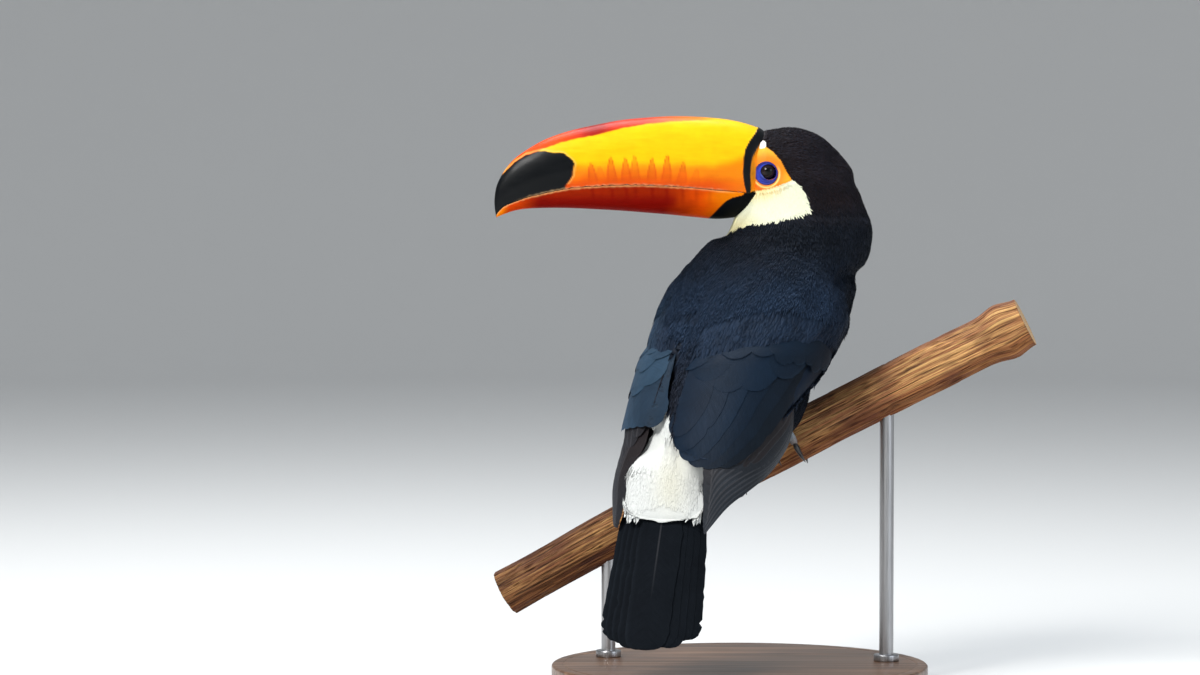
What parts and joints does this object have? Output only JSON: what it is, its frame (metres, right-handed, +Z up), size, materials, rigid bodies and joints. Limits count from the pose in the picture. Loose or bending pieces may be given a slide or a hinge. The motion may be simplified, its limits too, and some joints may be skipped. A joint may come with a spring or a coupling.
{
  "type": "toucan model",
  "caption": "Life-size still model of a large-billed black and white toucan, perched on a cut branch with its head turned back over one shoulder, held up by a round stand.",
  "frame": {"origin": "centre of the stand base's underside", "axes": "+Z is up; the branch rises towards +X; the bird's back and the left side of its turned head face -Y, and the bill points along -X"},
  "size_m": [0.383, 0.264, 0.3981],
  "materials": {
    "dark_plumage": "soft blue-black feathers",
    "head_plumage": "velvety brown-black cap with a cream bib and bare orange skin round the eye",
    "wing_plumage": "smooth blue-slate feathers",
    "flight_feathers": "stiff dark feathers with a slight gloss",
    "white_plumage": "soft cream-white feathers",
    "red_plumage": "soft red feathers",
    "eye": "wet gloss",
    "bill": "smooth satin horn, yellow to orange with a black tip",
    "lower_bill": "smooth satin horn, orange-red",
    "foot_skin": "scaly pale blue-grey",
    "claw": "black horn",
    "bark": "rough fibrous bark",
    "stand_wood": "dark satin varnish",
    "stand_metal": "satin black"
  },
  "bodies": {
    "root": {"trunk": "dark_plumage", "neck": "dark_plumage", "head": "head_plumage", "right_eye": "eye", "left_eye": "eye", "bill_upper": "bill", "bill_lower": "lower_bill", "right_wing": "wing_plumage", "right_wing_tip": "flight_feathers", "left_wing": "wing_plumage", "left_wing_tip": "flight_feathers", "tail": "flight_feathers", "rump": "white_plumage", "undertail": "red_plumage", "right_thigh": "dark_plumage", "left_thigh": "dark_plumage", "right_foot": "foot_skin", "left_foot": "foot_skin", "right_claw_1": "claw", "right_claw_2": "claw", "right_claw_3": "claw", "right_claw_4": "claw", "left_claw_1": "claw", "left_claw_2": "claw", "left_claw_3": "claw", "left_claw_4": "claw", "perch": "bark", "stand_base": "stand_wood", "stand_rod_1": "stand_metal", "stand_rod_2": "stand_metal"}
  },
  "joints": []
}
